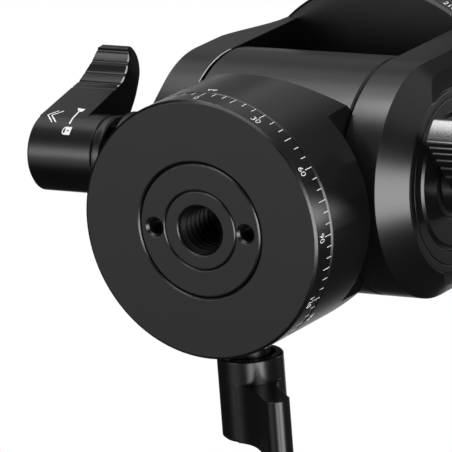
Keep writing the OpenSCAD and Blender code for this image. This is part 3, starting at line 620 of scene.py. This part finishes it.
def addLevelMarks():
    centre = ((Vector(vialBox[0]) + Vector(vialBox[1])) / 2).to_2d()
    top = vialBox[1][2]
    bpy.ops.object.select_all(action="DESELECT")
    bpy.ops.mesh.primitive_circle_add(vertices=48, radius=bubble["ringMm"] * mm)
    ring = bpy.context.object
    editAll()
    bpy.ops.mesh.extrude_edges_move()
    inner = (bubble["ringMm"] - bubble["ringWideMm"]) / bubble["ringMm"]
    bpy.ops.transform.resize(value=(inner, inner, 1))
    bpy.ops.object.mode_set(mode="OBJECT")
    settle(ring, Matrix.Translation((centre.x, centre.y, top + bubble["ringProudMm"] * mm)))
    applyModifier(ring, "SOLIDIFY", thickness=bubble["skinMm"] * mm, offset=-1)
    joinAs("level_ring", [ring], blackAluminium, "plate_clamp")
    bpy.ops.object.select_all(action="DESELECT")
    bpy.ops.mesh.primitive_uv_sphere_add(segments=40, ring_count=20, radius=bubble["bubbleMm"] * mm)
    air = bpy.context.object
    bpy.ops.object.shade_smooth()
    under = Matrix.Translation((centre.x, centre.y, top - bubble["sunkMm"] * mm))
    settle(air, under @ Matrix.Diagonal((1, 1, bubble["flat"], 1)))
    pale = makeVial("air bubble in spirit", bubbleLook)
    joinAs("level_bubble", [air], pale, "plate_clamp")


addLevelMarks()
print("level marked")

# the photograph's viewpoint: a long lens, below and in front, rolled so that the base faces up
camera = {"place": (0.58452, -0.29653, -0.94124), "aim": (-0.0218945, 0.012807, 0.045), "rollDeg": 62.796,
          "focalPixels": 6182.77, "framePixels": 452, "sensorMm": 36.0, "nearM": 0.01, "farM": 20}


def addCamera(view):
    data = bpy.data.cameras.new("camera")
    data.sensor_width = view["sensorMm"]
    data.lens = view["focalPixels"] / view["framePixels"] * view["sensorMm"]
    data.clip_start = view["nearM"]
    data.clip_end = view["farM"]
    eye = bpy.data.objects.new("camera", data)
    bpy.context.collection.objects.link(eye)
    away = Vector(view["aim"]) - Vector(view["place"])
    turn = away.to_track_quat("-Z", "Y").to_matrix().to_4x4()
    roll = Matrix.Rotation(math.radians(view["rollDeg"]), 4, "Z")
    eye.matrix_world = Matrix.Translation(view["place"]) @ turn @ roll
    bpy.context.scene.camera = eye


addCamera(camera)


def direction(azimuth, elevation):
    a, e = math.radians(azimuth), math.radians(elevation)
    return Vector((math.cos(a) * math.cos(e), math.sin(a) * math.cos(e), math.sin(e)))


# dark studio with a white sheet below on the left and another behind: glossy black shows both of them
studio = {"soft": 0.45, "shade": 0.025, "sheets": ({"at": (-165, -62), "from": 0.80, "to": 0.97},
                                                   {"at": (152, 62), "from": 0.905, "to": 1.0})}


def addWorld(room):
    world = bpy.data.worlds.new("studio")
    bpy.context.scene.world = world
    world.use_nodes = True
    tree = world.node_tree
    tree.nodes.clear()
    path = addNode(tree, "ShaderNodeLightPath")
    place = addNode(tree, "ShaderNodeTexCoord")
    sheets = []
    for sheet in room["sheets"]:
        side = addNode(tree, "ShaderNodeVectorMath", {"operation": "DOT_PRODUCT", 1: direction(*sheet["at"])},
                       {0: place.outputs["Generated"]})
        sheets.append(addNode(tree, "ShaderNodeMapRange",
                              {"interpolation_type": "SMOOTHSTEP", "From Min": sheet["from"], "From Max": sheet["to"],
                               "To Min": room["shade"], "To Max": 1.0},
                              {"Value": side.outputs["Value"]}))
    both = addNode(tree, "ShaderNodeMath", {"operation": "MAXIMUM"},
                   {0: sheets[0].outputs["Result"], 1: sheets[1].outputs["Result"]})
    glossy = addNode(tree, "ShaderNodeMix", {"data_type": "FLOAT", 2: room["soft"]},
                     {0: path.outputs["Is Glossy Ray"], 3: both.outputs[0]})
    seen = addNode(tree, "ShaderNodeMath", {"operation": "MAXIMUM"},
                   {0: path.outputs["Is Camera Ray"], 1: path.outputs["Is Transmission Ray"]})
    level = addNode(tree, "ShaderNodeMath", {"operation": "MAXIMUM"}, {0: seen.outputs[0], 1: glossy.outputs[0]})
    air = addNode(tree, "ShaderNodeBackground", {"Color": (1, 1, 1, 1)}, {"Strength": level.outputs[0]})
    addNode(tree, "ShaderNodeOutputWorld", links={"Surface": air.outputs[0]})


addWorld(studio)

# softboxes: azimuth and elevation as seen from the head, distance and size in metres, brightness of the cloth
lamps = {"right": {"at": (6, -30), "far": 0.95, "size": (0.60, 0.42), "cloth": 8.6},
         "rightLow": {"at": (32, -56), "far": 0.95, "size": (0.30, 0.30), "cloth": 6.0},
         "rightHigh": {"at": (-1, 51), "far": 1.0, "size": (0.28, 0.26), "cloth": 6.0},
         "leftLow": {"at": (-160, -61), "far": 1.0, "size": (0.36, 0.36), "cloth": 3.6},
         "leftHigh": {"at": (-133, 40), "far": 1.0, "size": (0.60, 0.60), "cloth": 0.23},
         "left": {"at": (-128, 22), "far": 1.0, "size": (0.50, 0.36), "cloth": 0.56},
         "frontLeft": {"at": (-114, 5), "far": 1.0, "size": (0.36, 0.38), "cloth": 2.1},
         "frontHigh": {"at": (-99, 56), "far": 1.1, "size": (0.56, 0.50), "cloth": 0.40},
         "frontLow": {"at": (-84, -26), "far": 1.0, "size": (0.62, 0.28), "cloth": 3.4},
         "leftFill": {"at": (-125, -24), "far": 1.0, "size": (0.50, 0.50), "cloth": 0.15},
         "front": {"at": (-46, 20), "far": 1.1, "size": (0.8, 1.1), "cloth": 0.62},
         "strip": {"at": (-107, -12), "far": 0.315, "size": (0.05, 0.10), "cloth": 15.0}}
lampAim = Vector((-0.005, 0, 0.045))
clothWatts = 4  # watts to a square metre of cloth at brightness 1


def addLamp(name, lamp):
    data = bpy.data.lights.new(name, "AREA")
    data.shape = "RECTANGLE"
    data.size, data.size_y = lamp["size"]
    data.energy = lamp["cloth"] * clothWatts * lamp["size"][0] * lamp["size"][1]
    box = bpy.data.objects.new(name, data)
    bpy.context.collection.objects.link(box)
    towards = direction(*lamp["at"])
    turn = towards.to_track_quat("Z", "Y").to_matrix().to_4x4()
    box.matrix_world = Matrix.Translation(lampAim + towards * lamp["far"]) @ turn
    box.visible_camera = False


for name, lamp in lamps.items():
    addLamp(name, lamp)

# pale floor, seen only from above, that keeps the shadow and fades into the white
floor = {"sizeM": 4.0, "underMm": 0.1, "colour": "#F4F4F2", "fadeFrom": 0.5, "fadeTo": 1.6}


def addFloor(ground):
    bpy.ops.object.select_all(action="DESELECT")
    bpy.ops.mesh.primitive_grid_add(x_subdivisions=4, y_subdivisions=4, size=ground["sizeM"])
    plane = bpy.context.object
    plane.name = "floor"
    plane.data.transform(Matrix.Translation((0, 0, -ground["underMm"] * mm)))
    material, tree = newMaterial("pale studio floor")
    place = addNode(tree, "ShaderNodeTexCoord")
    reach = addNode(tree, "ShaderNodeVectorMath", {"operation": "LENGTH"}, {0: place.outputs["Object"]})
    fade = addNode(tree, "ShaderNodeMapRange", {"From Min": ground["fadeFrom"], "From Max": ground["fadeTo"]},
                   {"Value": reach.outputs["Value"]})
    faces = addNode(tree, "ShaderNodeNewGeometry")
    away = addNode(tree, "ShaderNodeMath", {"operation": "MAXIMUM"},
                   {0: fade.outputs[0], 1: faces.outputs["Backfacing"]})
    paint = addNode(tree, "ShaderNodeBsdfDiffuse", {"Color": hexColour(ground["colour"])})
    clear = addNode(tree, "ShaderNodeBsdfTransparent")
    mix = addNode(tree, "ShaderNodeMixShader", links={0: away.outputs[0], 1: paint.outputs[0], 2: clear.outputs[0]})
    closeMaterial(tree, mix)
    plane.data.materials.append(material)
    for ray in ("diffuse", "glossy", "transmission", "shadow", "volume_scatter"):
        setattr(plane, "visible_" + ray, False)


addFloor(floor)
bpy.context.scene.view_settings.view_transform = "Standard"
print("camera, lamps and floor set")
